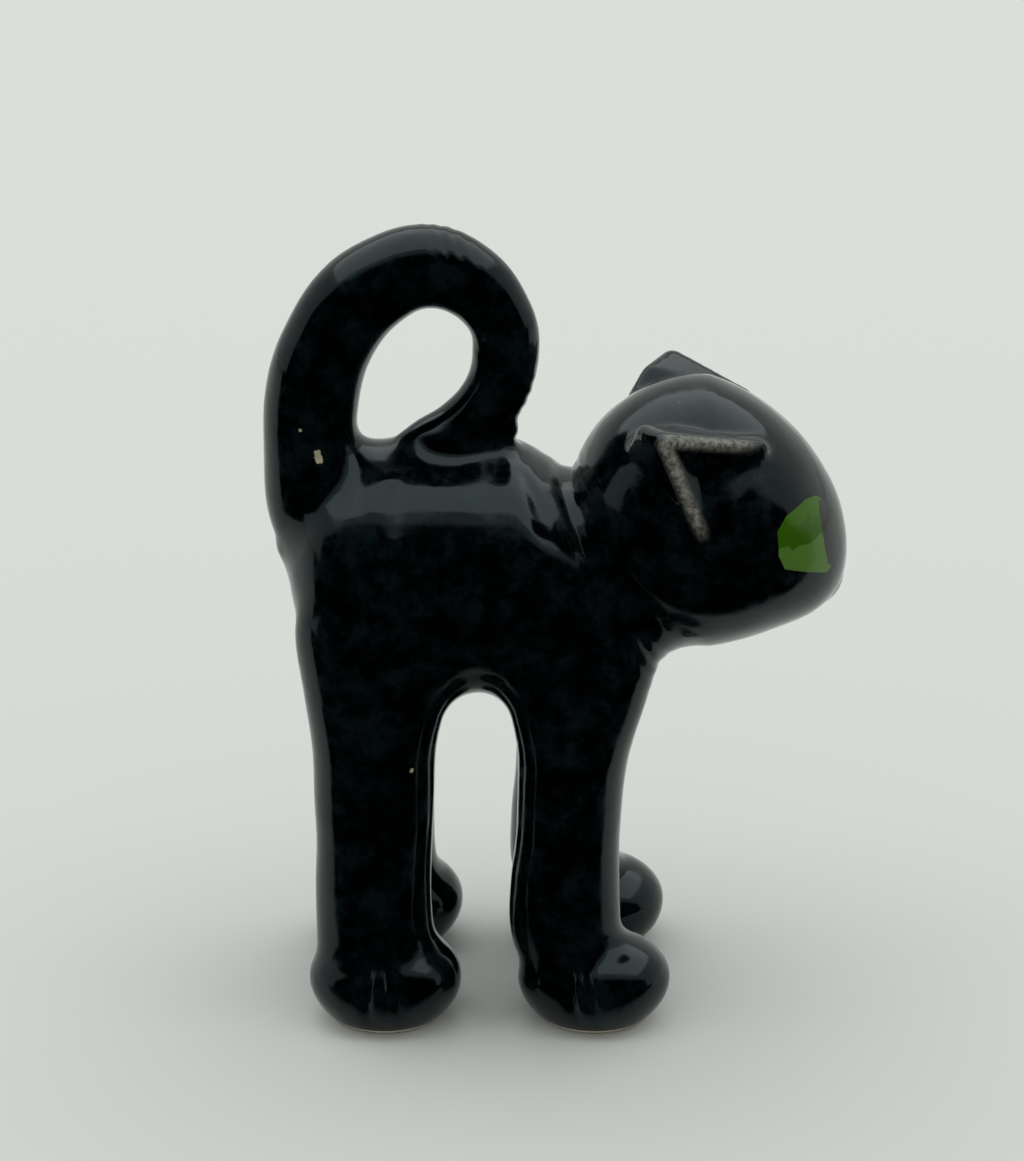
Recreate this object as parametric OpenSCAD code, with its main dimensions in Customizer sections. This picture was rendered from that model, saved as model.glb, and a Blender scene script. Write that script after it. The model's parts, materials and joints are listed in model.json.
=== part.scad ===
// Small glazed ceramic cat with an arched back and a looped tail.
// Clay pieces are pressed or rolled, luted together with slip, fired and glazed.
// The cat faces +X and its left side is +Y. The soles stand on z = 0.

/* [Torso] */
// Radius of the barrel-shaped torso
torso_r = 12; // [11.5:0.25:12.5]
// Height of the torso's centre line above the table
torso_z = 43.7; // [43:0.1:44.5]

/* [Legs] */
// Distance between the centres of the left and right paws
stance_w = 17; // [16.4:0.2:17.6]
// Half the front-to-back thickness of a leg at its thinnest
leg_r = 5.5; // [5:0.1:5.8]
// Half the side-to-side thickness of a leg at its thinnest
leg_side_r = 4.9; // [4.6:0.1:5.2]

/* [Paws] */
// Half the length of a paw, front to back
paw_half_l = 7.3; // [7:0.1:7.5]
// Half the width of a paw, side to side
paw_half_w = 6.4; // [6:0.1:6.6]
// Height of the middle of the paw ball above the table
paw_z = 4; // [3.6:0.1:4.4]
// Depth of the two grooves that part the toes
toe_groove_d = 0.7; // [0.4:0.1:0.9]
// Thickness of the bare clay sole under each paw
sole_t = 0.6; // [0.4:0.1:0.8]

/* [Head] */
// Radius of the head
head_r = 12.8; // [12.5:0.1:13.1]
// Height of the middle of the head above the table
head_z = 49.5; // [49.0:0.1:50.0]
// How far the face reaches forward of a plain ball
face_reach = 0.8; // [0.5:0.1:1.1]
// How far the nose sits below the middle of the head
face_drop = 4; // [3:0.25:4.5]

/* [Ears and eyes] */
// How far an ear tip stands out from the head
ear_reach = 4.3; // [4:0.1:5]
// Half the height of an eye
eye_half_h = 3.8; // [3.4:0.1:4]
// Half the width of an eye
eye_half_w = 4; // [3.6:0.1:4.2]
// Thickness of one coat of enamel
enamel_t = 0.3; // [0.25:0.05:0.4]

/* [Tail] */
// Radius of the tail where it leaves the rump
tail_root_r = 4.6; // [4.3:0.1:4.8]
// Radius of the tail where its tip lies on the back
tail_tip_r = 2.1; // [1.9:0.1:2.3]
// Height of the tail's centre line at the top of its loop
tail_top_z = 73.05; // [72:0.25:74]

/* [Hidden] */
// The table line is z = 0, and the middle of the paws' stance is y = 0.
head_x = 14.0;
hind_paw_x = -16.3;
fore_paw_x = 3.8;
paw_y = stance_w / 2;
paw_top_h = 5.2;
paw_base_h = 5.5;
ring_sides = 28;
SIDES = ["left", "right"];
PLACES = ["fore", "hind"];

glaze = [0.03, 0.04, 0.05];
bare_clay = [0.72, 0.69, 0.61];
eye_green = [0.25, 0.36, 0.1];
pupil_black = [0.01, 0.01, 0.01];

// A value on the smooth curve through rows, with t running from 0 to 1.
function along(rows, t) =
    let (last = len(rows) - 1,
         i = min(floor(t * last), last - 1),
         u = t * last - i,
         b = rows[i],
         c = rows[i + 1],
         a = i > 0 ? rows[i - 1] : 2 * b - c,
         d = i + 2 <= last ? rows[i + 2] : 2 * c - b)
    b + u * (c - a) / 2 + u * u * (a - 2.5 * b + 2 * c - d / 2)
      + u * u * u * (1.5 * b - 1.5 * c + (d - a) / 2);

// A closed ring of points about centre, spanned by the half-axes u and v.
function ring(centre, u, v, sides = ring_sides) =
    [for (k = [0:sides - 1]) let (a = 360 * k / sides) centre + u * cos(a) + v * sin(a)];

// A closed skin over rings that all have the same number of points.
module skin(rings) {
    n = len(rings);
    m = len(rings[0]);
    walls = [for (i = [0:n - 2], j = [0:m - 1]) let (k = (j + 1) % m)
        [i * m + j, (i + 1) * m + j, (i + 1) * m + k, i * m + k]];
    start = [for (j = [0:m - 1]) j];
    end = [for (j = [m - 1:-1:0]) (n - 1) * m + j];
    polyhedron([for (r = rings) each r], concat([start], walls, [end]));
}

// ---- Torso and neck ----

// Rows of [x, centre height, half-width, half-height] from rump to chest.
torso_rows = [
    [-25.4, torso_z + 0.6, 0.6, 0.6],
    [-24.6, torso_z + 0.6, 5.0, 5.2],
    [-22.0, torso_z + 0.5, 8.9, 9.4],
    [-17.0, torso_z + 0.2, torso_r - 0.7, torso_r - 0.5],
    [-10.0, torso_z + 0.15, torso_r, torso_r - 0.15],
    [-4.0, torso_z + 0.1, torso_r, torso_r - 0.2],
    [1.0, torso_z - 1.4, torso_r - 0.9, torso_r - 1.7],
    [5.0, torso_z - 3.2, torso_r - 2.6, torso_r - 3.2],
    [8.0, torso_z - 4.6, 6.0, 5.8],
    [9.6, torso_z - 5.4, 0.8, 0.8]
];
torso_steps = 22;

module torso_clay() {
    skin([for (i = [0:torso_steps]) let (r = along(torso_rows, i / torso_steps))
        ring([r[0], 0, r[1]], [0, r[2], 0], [0, 0, r[3]])]);
}

module torso() {
    color(glaze) torso_clay();
}

// Rows of [x, centre height, radius] along the neck, from inside the torso to inside the head.
neck_rows = [
    [-3, torso_z + 0.2, 8.8],
    [0, torso_z + 0.6, 8.3],
    [3, torso_z + 1.1, 8.0],
    [6, torso_z + 1.8, 8.2],
    [9, torso_z + 2.6, 8.8]
];
neck_steps = 8;

module neck_clay() {
    skin([for (i = [0:neck_steps]) let (r = along(neck_rows, i / neck_steps))
        ring([r[0], 0, r[1]], [0, r[2], 0], [-r[2] * 0.25, 0, r[2]])]);
}

// The neck is the ring of clay squeezed out between the torso and the head.
module neck() {
    color(glaze)
        difference() {
            neck_clay();
            torso_clay();
            head_clay();
        }
}

// ---- Head ----

head_at = [head_x, 0, head_z];
head_steps = 18;

// The head is a ball whose face end narrows, reaches forward and drops towards the nose.
function head_ring(phi, grow) =
    let (forward = (1 - cos(phi)) / 2,
         narrow = phi > 90 ? 1 - 0.1 * sin(2 * phi - 180) : 1,
         wide = (1 + narrow) / 2,
         x = -head_r * cos(phi) + face_reach * forward,
         z = -face_drop * pow(forward, 4),
         r = head_r * sin(phi))
    ring(head_at + grow * [x, 0, z], [0, grow * r * wide, 0], [0, 0, grow * r * narrow]);

module head_clay(grow = 1) {
    pole = 4;
    skin([for (i = [0:head_steps]) head_ring(pole + (180 - 2 * pole) * i / head_steps, grow)]);
}

module head() {
    color(glaze) head_clay();
}

// A small pad of clay under the eyes that carries the nose and mouth.
muzzle_at = [23.5, 0, 43.1];
muzzle_half = [3.9, 4.6, 3.9];

module muzzle() {
    steps = 10;
    pole = 6;
    color(glaze)
        difference() {
            skin([for (i = [0:steps])
                let (phi = pole + (180 - 2 * pole) * i / steps)
                ring(muzzle_at - [muzzle_half[0] * cos(phi), 0, 0],
                     [0, muzzle_half[1] * sin(phi), 0],
                     [0, 0, muzzle_half[2] * sin(phi)])]);
            head_clay();
        }
}

// ---- Ears, eyes and pupils: built on the right side and mirrored for the left ----

// The direction from the middle of the head at turn degrees from the nose and rise above level.
function towards(turn, rise) =
    [cos(rise) * cos(turn), -cos(rise) * sin(turn), sin(rise)];

module on_side(side) {
    if (side == "left") mirror([0, 1, 0]) children();
    else children();
}

ear_edge_r = 1.0;
// The ears were pinched up by hand, so the right one leans a little further back.
ear_turn_right = 111;
ear_turn_left = 103;
function ear_tip_dir(side) = towards(side == "right" ? ear_turn_right : ear_turn_left, 41);
// Where the ear's three edges run out into the head: in front, below and behind.
ear_feet = [towards(57, 45), towards(92, 5), towards(138, 40)];

module ear(side) {
    color(glaze)
        on_side(side)
        difference() {
            hull() {
                translate(head_at + (head_r + ear_reach - ear_edge_r) * ear_tip_dir(side))
                    sphere(r = ear_edge_r, $fn = 20);
                for (foot = ear_feet)
                    translate(head_at + (head_r - ear_edge_r) * foot)
                        sphere(r = ear_edge_r, $fn = 20);
            }
            head_clay();
        }
}

eye_turn = 40;
eye_rise = -2;
pupil_turn = 30;
pupil_rise = -1;
pupil_half_w = 1.3;
pupil_half_h = 3;

// An oval prism that runs out of the head at the given turn and rise.
module oval_beam(turn, rise, half_w, half_h) {
    out = towards(turn, rise);
    across = [sin(turn), cos(turn), 0];
    up = cross(across, out);
    near = head_r * 0.5;
    far = head_r * 1.3;
    skin([for (reach = [near, far])
        ring(head_at + reach * out, half_w * across, -half_h * up, 32)]);
}

// One coat of enamel: the stretch of a slightly larger head inside an oval beam.
module enamel(turn, rise, half_w, half_h, coat) {
    difference() {
        intersection() {
            head_clay(1 + coat * enamel_t / head_r);
            oval_beam(turn, rise, half_w, half_h);
        }
        head_clay(1 + (coat - 1) * enamel_t / head_r);
    }
}

module eye(side) {
    color(eye_green) on_side(side) enamel(eye_turn, eye_rise, eye_half_w, eye_half_h, 1);
}

module pupil(side) {
    color(pupil_black) on_side(side) enamel(pupil_turn, pupil_rise, pupil_half_w, pupil_half_h, 2);
}

// ---- Legs and paws: built on the right side and mirrored for the left ----

// Rows of [z, centre x, half-length, half-width, lean towards the middle] from the paw upwards.
hind_leg_rows = [
    [2, -16.8, leg_r + 0.4, leg_side_r, 0.4],
    [8, -17.2, leg_r + 0.2, leg_side_r, 0.7],
    [14, -17.35, leg_r, leg_side_r, 1.0],
    [20, -17.2, leg_r + 0.1, leg_side_r, 1.2],
    [27, -17.2, leg_r + 0.4, leg_side_r + 0.2, 1.4],
    [33, -16.9, leg_r + 1.3, leg_side_r + 0.6, 1.8],
    [39, -16.7, leg_r + 2.3, leg_side_r + 1.0, 2.6],
    [44, -16.2, leg_r + 1.8, leg_side_r + 0.4, 3.6]
];
fore_leg_rows = [
    [2, 2.6, leg_r - 1.5, leg_side_r - 0.4, 0.4],
    [8, 1.2, leg_r - 0.2, leg_side_r, 0.7],
    [14, 1.0, leg_r - 0.3, leg_side_r, 1.0],
    [20, 1.3, leg_r - 0.5, leg_side_r, 1.2],
    [27, 1.7, leg_r - 0.2, leg_side_r + 0.2, 1.4],
    [33, 2.0, leg_r + 1.2, leg_side_r + 0.6, 1.8],
    [38, 2.4, leg_r + 2.1, leg_side_r + 0.8, 2.6],
    [43, 1.4, leg_r + 1.8, leg_side_r + 0.2, 4.0]
];
leg_steps = 14;

module leg_clay(place) {
    rows = place == "fore" ? fore_leg_rows : hind_leg_rows;
    skin([for (i = [0:leg_steps]) let (r = along(rows, i / leg_steps))
        ring([r[1], r[4] - paw_y, r[0]], [r[2], 0, 0], [0, r[3], 0])]);
}

module leg(place, side) {
    color(glaze)
        on_side(side)
        difference() {
            leg_clay(place);
            torso_clay();
            paw_ball(place, paw_floor_lat, 90);
        }
}

// Latitudes on the paw ball of the table and of the top of the bare sole.
paw_floor_lat = asin(-paw_z / paw_base_h);
sole_top_lat = asin((sole_t - paw_z) / paw_base_h);
paw_sides = 60;
toe_groove_w = 5;

// Each groove is [turn from straight outwards, slant from the top to the bottom of the paw].
function toe_grooves(place) = place == "fore" ? [[-19, 16], [-3, 14]] : [[-14, 2], [8, 8]];

// How much of the paw's radius is left at a turn from straight outwards and a latitude.
function toe_shape(place, turn, lat) =
    let (reach = pow(max(0, cos(1.8 * (lat - 8))), 2))
    1 - toe_groove_d / paw_half_w * reach
        * max([for (g = toe_grooves(place))
            exp(-pow((turn - g[0] + g[1] * lat / 90) / toe_groove_w, 2))]);

// A paw is a ball of clay pressed flat on the table, between two latitudes.
module paw_ball(place, lat_from, lat_to) {
    steps = 12;
    x = place == "fore" ? fore_paw_x : hind_paw_x;
    top = lat_to == 90 ? 84 : lat_to;
    skin([for (i = [0:(lat_to == 90 ? steps : 1)])
        let (lat = lat_from + (top - lat_from) * i / (lat_to == 90 ? steps : 1))
        [for (k = [0:paw_sides - 1])
            let (turn = 360 * k / paw_sides - 180,
                 r = cos(lat) * toe_shape(place, turn, lat))
            [x + r * paw_half_l * sin(turn), -paw_y - r * paw_half_w * cos(turn),
             paw_z + (lat > 0 ? paw_top_h : paw_base_h) * sin(lat)]]]);
}

module paw(place, side) {
    color(glaze) on_side(side) paw_ball(place, sole_top_lat, 90);
}

// The glaze is wiped off the underside of each paw, so its edge shows bare clay.
module sole(place, side) {
    color(bare_clay) on_side(side) paw_ball(place, paw_floor_lat, sole_top_lat);
}

// ---- Tail ----

// Rows of [x, z, radius] from inside the rump, over the loop and down onto the back.
tail_rows = [
    [-20.0, 43.5, tail_root_r - 0.6],
    [-22.3, 48.5, tail_root_r],
    [-23.0, 54.0, tail_root_r - 0.15],
    [-22.8, 60.0, tail_root_r - 0.2],
    [-21.4, 65.3, tail_root_r - 0.3],
    [-18.0, 70.2, tail_root_r - 0.45],
    [-12.6, tail_top_z, tail_root_r - 0.65],
    [-7.9, 71.5, tail_root_r - 1.1],
    [-5.1, 68.0, tail_root_r - 1.5],
    [-4.7, 64.8, tail_root_r - 1.5],
    [-5.2, 61.8, tail_root_r - 1.55],
    [-6.8, 59.0, tail_root_r - 1.65],
    [-9.2, 56.9, tail_tip_r + 0.65],
    [-12.0, 55.2, tail_tip_r + 0.2],
    [-14.2, 54.2, tail_tip_r - 0.7]
];
tail_steps = 46;
tail_sides = 20;

module tail_clay() {
    skin([for (i = [0:tail_steps])
        let (t = i / tail_steps,
             r = along(tail_rows, t),
             run = along(tail_rows, min(1, t + 0.004)) - along(tail_rows, max(0, t - 0.004)),
             d = [run[0], run[1]] / norm([run[0], run[1]]))
        ring([r[0], 0, r[1]], [0, r[2], 0], r[2] * [-d[1], 0, d[0]], tail_sides)]);
}

module tail() {
    color(glaze)
        difference() {
            tail_clay();
            torso_clay();
        }
}

torso();
neck();
head();
muzzle();
tail();
for (side = SIDES) {
    ear(side);
    eye(side);
    pupil(side);
    for (place = PLACES) {
        leg(place, side);
        paw(place, side);
        sole(place, side);
    }
}
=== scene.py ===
# %% [markdown]
# # A small black glazed cat
# This lesson gives a finished design its looks: a hand-made ceramic cat, about 77 mm tall. The clay pieces
# were rolled or pressed, luted together with slip (runny clay), fired, dipped in a thick black glaze and
# fired again. So the surface is one smooth skin, and only soft creases show where the pieces meet.
# Work goes in the maker's order: shape each clay piece, lute them, let slip fill the creases, press in
# the toes, the ears and the tool marks, cut the finished skin back into its pieces, then glaze, paint
# and light it.

# %% Load the frame
import json
import math

import bmesh
import bpy
import numpy as np
from mathutils import Matrix, Vector


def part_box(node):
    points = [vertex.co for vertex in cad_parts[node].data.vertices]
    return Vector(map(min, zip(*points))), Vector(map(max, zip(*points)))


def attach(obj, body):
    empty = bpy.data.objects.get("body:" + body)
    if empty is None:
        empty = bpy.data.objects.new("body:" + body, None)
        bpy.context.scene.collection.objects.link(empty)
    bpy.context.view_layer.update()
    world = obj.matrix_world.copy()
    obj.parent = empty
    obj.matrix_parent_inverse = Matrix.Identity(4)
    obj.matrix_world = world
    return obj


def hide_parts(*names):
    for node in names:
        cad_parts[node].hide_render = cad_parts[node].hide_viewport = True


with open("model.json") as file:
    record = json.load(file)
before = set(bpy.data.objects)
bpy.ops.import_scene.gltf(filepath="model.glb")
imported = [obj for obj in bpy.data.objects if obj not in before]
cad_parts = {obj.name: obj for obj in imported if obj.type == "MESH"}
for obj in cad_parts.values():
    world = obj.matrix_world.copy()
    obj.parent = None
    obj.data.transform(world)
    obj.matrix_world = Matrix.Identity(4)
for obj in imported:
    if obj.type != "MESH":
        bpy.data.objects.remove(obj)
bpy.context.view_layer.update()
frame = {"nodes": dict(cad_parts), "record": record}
MM = 0.001
SIDES = {"right": -1, "left": 1}
print("loaded", len(frame["nodes"]), "nodes")

# %% [markdown]
# ## Driving sizes
# The design already says how big each piece is and where it sits. Reading its boxes keeps the looks and
# the design in step: if the head grows there, it grows here too.

# %% Read sizes from the design


def middle_and_half(node):
    """The middle of a node's box, and half its size each way."""
    low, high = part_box(node)
    return (low + high) / 2, (high - low) / 2


torso_mid, torso_half = middle_and_half("torso")
head_mid, head_half = middle_and_half("head")
hind_paw_mid, hind_paw_half = middle_and_half("hind_paw_right")
fore_paw_mid, fore_paw_half = middle_and_half("fore_paw_right")
sole_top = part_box("hind_sole_right")[1].z
TORSO_R = torso_half.y
TORSO_Z = torso_mid.z - 0.2 * MM  # the barrel's centre line lies a little below its box's middle
HEAD_R = head_half.y
PAW_Y = -hind_paw_mid.y
print("torso radius", round(TORSO_R / MM, 1), "head radius", round(HEAD_R / MM, 1), "mm")

# %% [markdown]
# ## Rolling clay
# A coil, a leg and a barrel are all the same thing to a potter: a round section that changes as it goes.
# A stack of circles does that. Each circle is a bmesh circle put in place by a matrix whose columns are
# its two half-widths, and bridge_loops closes the wall between one circle and the next. A smooth curve
# through a few chosen rows gives the circles, so a shape has only the rows that it needs.

# %% Helpers that roll a piece


def along(rows, t):
    """The value at t, from 0 to 1, on the smooth curve that passes through every row."""
    rows = [np.array(row, float) for row in rows]
    last = len(rows) - 1
    i = min(int(t * last), last - 1)
    u = t * last - i
    b, c = rows[i], rows[i + 1]
    a = rows[i - 1] if i > 0 else 2 * b - c
    d = rows[i + 2] if i + 2 <= last else 2 * c - b
    return (b + u * (c - a) / 2 + u * u * (a - 2.5 * b + 2 * c - d / 2)
            + u * u * u * (1.5 * b - 1.5 * c + (d - a) / 2))


def roll(stations, sides=56):
    """A closed bmesh through stations of (centre, half-width vector, half-height vector)."""
    bm = bmesh.new()
    rings = []
    for centre, across, up in stations:
        place = Matrix((across, up, across.cross(up).normalized())).transposed().to_4x4()
        place.translation = centre
        made = bmesh.ops.create_circle(bm, segments=sides, radius=1.0, matrix=place)
        rings.append(list(dict.fromkeys(e for v in made["verts"] for e in v.link_edges)))
    for one, other in zip(rings, rings[1:]):
        bmesh.ops.bridge_loops(bm, edges=one + other)
    caps = bmesh.ops.holes_fill(bm, edges=rings[0] + rings[-1], sides=0)["faces"]
    bmesh.ops.poke(bm, faces=caps)
    bmesh.ops.recalc_face_normals(bm, faces=bm.faces)
    return bm


def dome(lat_from, lat_to, steps):
    """Latitudes in radians, evenly spaced."""
    return [math.radians(lat_from + (lat_to - lat_from) * i / steps) for i in range(steps + 1)]


clay = []

# %% [markdown]
# ## Torso, neck and head
# The torso is a fat barrel. The head is a ball of clay whose face end narrows and drops towards the nose,
# and the neck is the clay that squeezes out when head and torso are pressed together. Rows are
# given in millimetres, measured from the sizes that were just read.

# %% Torso
torso_rows = [
    # x, rise of the centre, half-width, half-height, in mm
    (-25.4, 0.6, 0.6, 0.6),
    (-24.6, 0.6, 5.0, 5.2),
    (-22.0, 0.5, 8.9, 9.4),
    (-17.0, 0.2, 11.3, 11.5),
    (-10.0, 0.15, 12.0, 11.85),
    (-4.0, 0.1, 12.0, 11.8),
    (1.0, -1.4, 11.1, 10.2),
    (5.0, -3.2, 9.4, 8.8),
    (8.0, -4.6, 6.0, 5.8),
    (9.6, -5.4, 0.8, 0.8),
]


def barrel(rows, steps, lean=0.0):
    """Stations along x for rows of (x, rise, half-width, half-height); lean tips each circle back."""
    stations = []
    for i in range(steps + 1):
        x, rise, half_w, half_h = along(rows, i / steps) * MM
        stations.append((Vector((x, 0, TORSO_Z + rise)), Vector((0, half_w, 0)),
                         Vector((-lean * half_h, 0, half_h))))
    return stations


clay.append(roll(barrel(torso_rows, 44)))
print("torso rolled:", len(clay[-1].faces), "faces")

# %% Neck
neck_rows = [
    (-3, 0.2, 8.8, 8.8),
    (0, 0.4, 8.3, 8.2),
    (3, 0.9, 8.0, 7.7),
    (6, 1.6, 8.2, 8.0),
    (9, 2.6, 8.8, 8.8),
]
clay.append(roll(barrel(neck_rows, 12, lean=0.25)))
print("neck rolled:", len(clay[-1].faces), "faces")

# %% Head
HEAD_X = head_mid.x - 0.4 * MM
HEAD_AT = Vector((HEAD_X, 0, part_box("head")[1].z - HEAD_R))
FACE_REACH = 0.8 * MM
FACE_DROP = 4.0 * MM


def head_station(angle, grow=1.0):
    """A circle of the head at an angle from its back pole; grow scales it about the head's middle."""
    forward = (1 - math.cos(angle)) / 2
    narrow = 1 - 0.1 * math.sin(2 * angle - math.pi) if angle > math.pi / 2 else 1.0
    wide = (1 + narrow) / 2
    offset = Vector((-HEAD_R * math.cos(angle) + FACE_REACH * forward, 0, -FACE_DROP * forward ** 4))
    radius = HEAD_R * math.sin(angle)
    return (HEAD_AT + grow * offset, Vector((0, grow * radius * wide, 0)),
            Vector((0, 0, grow * radius * narrow)))


clay.append(roll([head_station(a) for a in dome(2, 178, 44)], sides=72))

# %% Muzzle
MUZZLE_AT = Vector((24.2, 0, 42.9)) * MM
MUZZLE_HALF = Vector((3.2, 4.2, 3.3)) * MM
muzzle = bmesh.new()
bmesh.ops.create_uvsphere(muzzle, u_segments=40, v_segments=24, radius=1.0,
                          matrix=Matrix.Translation(MUZZLE_AT) @ Matrix.Diagonal((*MUZZLE_HALF, 1)))
clay.append(muzzle)
print("head and muzzle rolled")

# %% [markdown]
# ## Ears
# A cat's ear in clay is a pinched three-edged spike. A convex hull over five small balls gives that at
# once: one ball at the tip, three where the edges run out into the head and one that swells the back
# edge. The right ear was pinched a little further back than the left.

# %% Ears
EAR_EDGE_R = 1.0 * MM
EAR_REACH = 4.3 * MM
# Directions from the middle of the head: turn from the nose, and rise above level, in degrees.
EAR_TIP_TURN = {-1: 111, 1: 103}
EAR_TIP_RISE = 41
EAR_FRONT = {-1: (57, 45), 1: (63, 44)}
EAR_LOW, EAR_BACK = (92, 5), (138, 40)
EAR_SWELL_TURN, EAR_SWELL_RISE, EAR_SWELL_OUT = 16, 46, 1.2 * MM


def towards(turn, rise, side):
    """Unit vector at turn degrees from the nose and rise above level, on side -1 (right) or 1 (left)."""
    turn, rise = math.radians(turn), math.radians(rise)
    return Vector((math.cos(rise) * math.cos(turn), side * math.cos(rise) * math.sin(turn),
                   math.sin(rise)))


def ear_points(side):
    """The ear's tip, then its front, lower and back feet, and the swell of its back edge."""
    tip_out = towards(EAR_TIP_TURN[side], EAR_TIP_RISE, side)
    tip = HEAD_AT + (HEAD_R + EAR_REACH - EAR_EDGE_R) * tip_out
    feet = [HEAD_AT + (HEAD_R - EAR_EDGE_R) * towards(turn, rise, side)
            for turn, rise in (EAR_FRONT[side], EAR_LOW, EAR_BACK)]
    swell_out = towards(EAR_TIP_TURN[side] + EAR_SWELL_TURN, EAR_SWELL_RISE, side)
    return [tip] + feet + [HEAD_AT + (HEAD_R + EAR_SWELL_OUT) * swell_out]


for side in SIDES.values():
    ear = bmesh.new()
    for point in ear_points(side):
        bmesh.ops.create_icosphere(ear, subdivisions=3, radius=EAR_EDGE_R,
                                   matrix=Matrix.Translation(point))
    hull = bmesh.ops.convex_hull(ear, input=ear.verts)
    bmesh.ops.delete(ear, geom=hull["geom_interior"], context="VERTS")
    clay.append(ear)
print("two ears pinched")

# %% [markdown]
# ## Legs and paws
# Each leg is a rolled coil, thick where it joins the body. Each paw is a ball pressed flat on the
# table. One side is rolled and the other is its mirror image, as the maker works in pairs.

# %% Legs
hind_leg_rows = [
    # z, x, half-length, half-width, distance of the centre line from the middle, in mm
    (2, -16.8, 5.9, 4.9, 8.1),
    (8, -17.2, 5.7, 4.9, 7.8),
    (14, -17.35, 5.5, 4.9, 7.5),
    (20, -17.2, 5.6, 4.9, 7.3),
    (27, -17.2, 5.9, 5.1, 7.1),
    (33, -16.9, 6.8, 5.5, 6.7),
    (39, -16.7, 7.8, 5.9, 5.9),
    (44, -16.2, 7.3, 5.3, 4.9),
]
fore_leg_rows = [
    (2, 2.6, 4.0, 4.5, 8.1),
    (8, 1.2, 5.3, 4.9, 7.8),
    (14, 1.0, 5.2, 4.9, 7.5),
    (20, 1.3, 5.0, 4.9, 7.3),
    (27, 1.7, 5.3, 5.1, 7.1),
    (33, 2.0, 6.7, 5.5, 6.7),
    (38, 2.4, 7.6, 5.7, 5.9),
    (43, 1.4, 7.3, 5.1, 4.5),
]


def leg_stations(rows, side, steps=30):
    """Level circles up one leg, on side -1 (right) or 1 (left)."""
    stations = []
    for i in range(steps + 1):
        z, x, half_l, half_w, out = along(rows, i / steps) * MM
        stations.append((Vector((x, side * out, z)), Vector((half_l, 0, 0)), Vector((0, half_w, 0))))
    return stations


for side in SIDES.values():
    for rows in (hind_leg_rows, fore_leg_rows):
        clay.append(roll(leg_stations(rows, side)))
print("four legs rolled")

# %% Paws
PAW_Z = hind_paw_mid.z - 0.7 * MM
PAW_TOP_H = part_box("hind_paw_right")[1].z - PAW_Z
PAW_BASE_H = 5.5 * MM
FORE_PAW_LOWER = 0.4 * MM
FLOOR_LAT = -math.degrees(math.asin(PAW_Z / PAW_BASE_H))


def paw_stations(middle, half, side, top_h):
    """Level circles up one paw, from the table to its top."""
    stations = []
    for lat in dome(FLOOR_LAT, 88, 24):
        height = top_h if lat > 0 else PAW_BASE_H
        centre = Vector((middle.x, side * PAW_Y, PAW_Z + height * math.sin(lat)))
        stations.append((centre, Vector((half.x * math.cos(lat), 0, 0)),
                         Vector((0, half.y * math.cos(lat), 0))))
    return stations


for side in SIDES.values():
    clay.append(roll(paw_stations(hind_paw_mid, hind_paw_half, side, PAW_TOP_H)))
    clay.append(roll(paw_stations(fore_paw_mid, fore_paw_half, side, PAW_TOP_H - FORE_PAW_LOWER)))
print("legs and paws rolled; paw middle", round(PAW_Z / MM, 2), "mm above the table")

# %% [markdown]
# ## Tail
# A long coil tapers from the rump, curls over into a loop and comes down on the back. Its rows give the
# route in the plane y = 0 and the radius. Each circle stands square to the route, so the coil keeps its
# round section round the bend.

# %% Tail
tail_rows = [
    # x, z, radius, in mm
    (-20.0, 43.5, 4.0),
    (-22.3, 48.5, 4.6),
    (-23.0, 54.0, 4.45),
    (-22.8, 60.0, 4.4),
    (-21.4, 65.3, 4.3),
    (-18.0, 70.2, 4.2),
    (-12.6, 73.05, 3.95),
    (-7.9, 71.5, 3.5),
    (-5.1, 68.0, 3.1),
    (-4.7, 64.8, 3.1),
    (-5.2, 61.8, 3.05),
    (-6.8, 59.0, 2.95),
    (-9.2, 56.9, 2.8),
    (-12.0, 55.5, 2.55),
    (-14.6, 54.5, 1.7),
]


def tail_stations(steps=90, look=0.004):
    """Circles square to the tail's route, whose direction is read a little ahead and behind."""
    stations = []
    for i in range(steps + 1):
        t = i / steps
        x, z, radius = (float(value) for value in along(tail_rows, t) * MM)
        run = along(tail_rows, min(1, t + look)) - along(tail_rows, max(0, t - look))
        ahead = Vector((run[0], 0, run[1])).normalized()
        across = Vector((0, 1, 0))
        stations.append((Vector((x, 0, z)), radius * across, radius * ahead.cross(across)))
    return stations


clay.append(roll(tail_stations(), sides=40))
print("tail rolled:", len(clay[-1].faces), "faces")

# %% [markdown]
# ## Wads
# Where a corner is deep, a potter packs it with a small wad of clay before any slip goes in: under the
# chin, behind the tail's tip and over the rump. A wad is a ball, sometimes squashed.

# %% Pack the deep corners
wads = [
    # x, z, half-length, half-width, half-height, in mm
    (9.6, 37.4, 2.4, 5.0, 2.4),
    (-5.4, 57.3, 1.9, 2.2, 1.9),
    (-23.2, 46.2, 3.3, 4.0, 3.6),
]
for x, z, *half in wads:
    wad = bmesh.new()
    place = Matrix.Translation(Vector((x, 0, z)) * MM)
    bmesh.ops.create_uvsphere(wad, u_segments=32, v_segments=20, radius=MM,
                              matrix=place @ Matrix.Diagonal((*half, 1)))
    clay.append(wad)
print(len(clay), "pieces of clay in all")

# %% [markdown]
# ## Luting
# Wet clay pieces are pressed together until they are one lump. A voxel remesh does the same: it drops
# the walls that ended up inside and wraps everything in one even skin of small quads.

# %% Lute the pieces into one skin
VOXEL = 0.34 * MM


def to_mesh(bm, name):
    mesh = bpy.data.meshes.new(name)
    bm.to_mesh(mesh)
    bm.free()
    return mesh


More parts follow.
